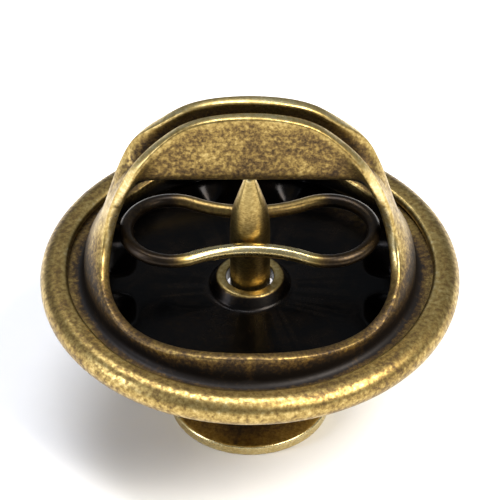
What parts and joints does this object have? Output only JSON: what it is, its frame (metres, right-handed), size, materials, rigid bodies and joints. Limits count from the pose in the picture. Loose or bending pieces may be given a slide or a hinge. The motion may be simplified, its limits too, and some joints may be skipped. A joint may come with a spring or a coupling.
{
  "type": "brooch pin finding",
  "caption": "Pointed tack with a flat round pad, and the pronged butterfly clutch that slides onto its post and grips it with a pinched spring wire.",
  "frame": {"origin": "centre of the underside of the tack's pad, on the axis of the post", "axes": "+Z along the post from the pad to its point and on through the crown of the clutch; +X along the clutch from wing to wing; +Y out through one of its two windows"},
  "size_m": [0.0116, 0.0116, 0.0108],
  "materials": {
    "tack": "antique bronze, blackened brass tumbled bright on its high spots",
    "face_plate": "antique bronze, blackened brass tumbled bright on its high spots",
    "wing_cap": "antique bronze outside, glossy black-brown inside",
    "spring_wire": "bright drawn wire"
  },
  "bodies": {
    "tack": {"tack": "tack"},
    "clutch": {"face_plate": "face_plate", "wing_cap": "wing_cap", "spring_wire": "spring_wire"}
  },
  "joints": [
    {"name": "clutch_slide", "type": "slide", "parent": "tack", "child": "clutch", "axis": [0, 0, 1], "range_m": [0, 0.005]}
  ]
}
